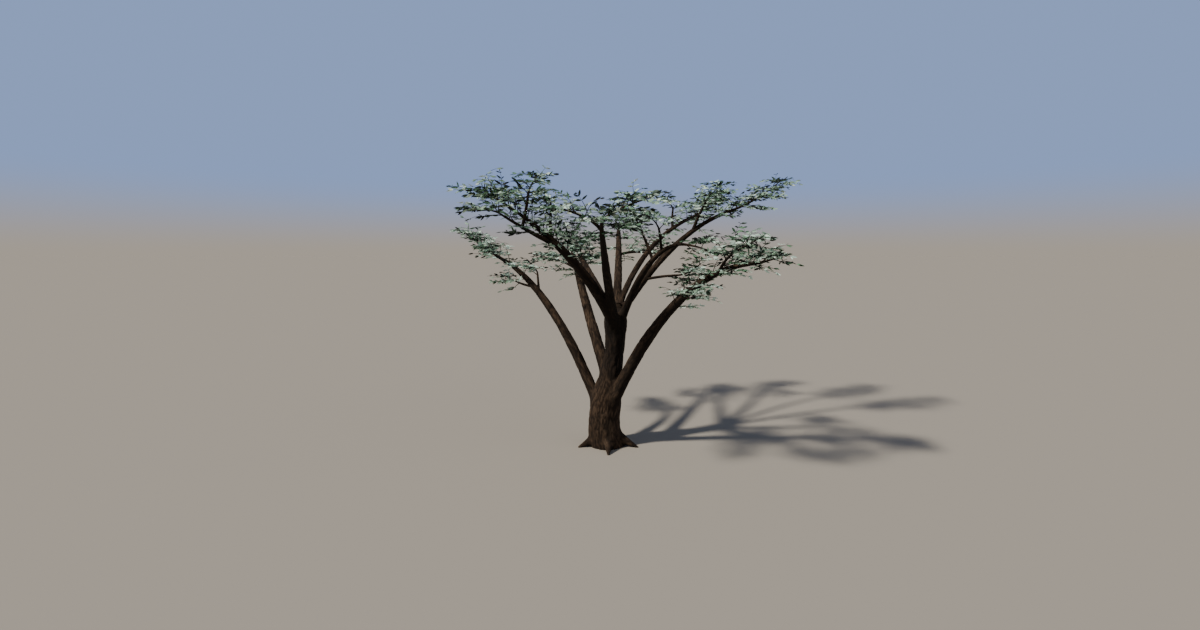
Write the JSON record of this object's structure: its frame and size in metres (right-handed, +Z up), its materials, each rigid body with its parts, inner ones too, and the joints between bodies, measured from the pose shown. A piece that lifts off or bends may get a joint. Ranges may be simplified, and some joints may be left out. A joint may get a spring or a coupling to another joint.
{
  "type": "olive tree",
  "caption": "Vase-pruned olive tree: a stout leaning trunk on spreading root buttresses, bare rising boughs and flat, open masses of narrow grey-green leaves.",
  "frame": {"origin": "on the ground, in the middle of the level cut under the trunk", "axes": "+Z up the tree; the picture looks along +Y, with +X to its right"},
  "size_m": [5.5907, 5.1567, 4.1551],
  "materials": {
    "bark": "rough dark brown bark",
    "foliage": "leathery grey-green leaves, paler below"
  },
  "bodies": {
    "root": {"trunk": "bark", "bough_left_low": "bark", "bough_right_low": "bark", "bough_back_left": "bark", "bough_front_right": "bark", "bough_front_left": "bark", "bough_right": "bark", "bough_front": "bark", "bough_back": "bark", "bough_back_right": "bark", "bough_back_inner": "bark", "branch_front_left_lower": "bark", "branch_front_left_middle": "bark", "branch_front_left_inner": "bark", "branch_left_low_upper": "bark", "branch_left_low_outer": "bark", "branch_back_left_outer": "bark", "branch_front_outer": "bark", "branch_back_lower": "bark", "branch_back_right_upper": "bark", "branch_front_right_inner": "bark", "branch_front_right_upper": "bark", "branch_right_upper": "bark", "branch_right_lower": "bark", "branch_right_low_upper": "bark", "branch_right_low_under": "bark", "foliage_left_low": "foliage", "foliage_right_low": "foliage", "foliage_back_left": "foliage", "foliage_front_right": "foliage", "foliage_front_left": "foliage", "foliage_right": "foliage", "foliage_front": "foliage", "foliage_back": "foliage", "foliage_back_right": "foliage", "foliage_back_inner": "foliage", "foliage_front_left_lower": "foliage", "foliage_front_left_middle": "foliage", "foliage_front_left_inner": "foliage", "foliage_left_low_upper": "foliage", "foliage_left_low_outer": "foliage", "foliage_back_left_outer": "foliage", "foliage_front_outer": "foliage", "foliage_back_lower": "foliage", "foliage_back_right_upper": "foliage", "foliage_front_right_inner": "foliage", "foliage_front_right_upper": "foliage", "foliage_right_upper": "foliage", "foliage_right_lower": "foliage", "foliage_right_low_upper": "foliage", "foliage_right_low_under": "foliage"}
  },
  "joints": []
}
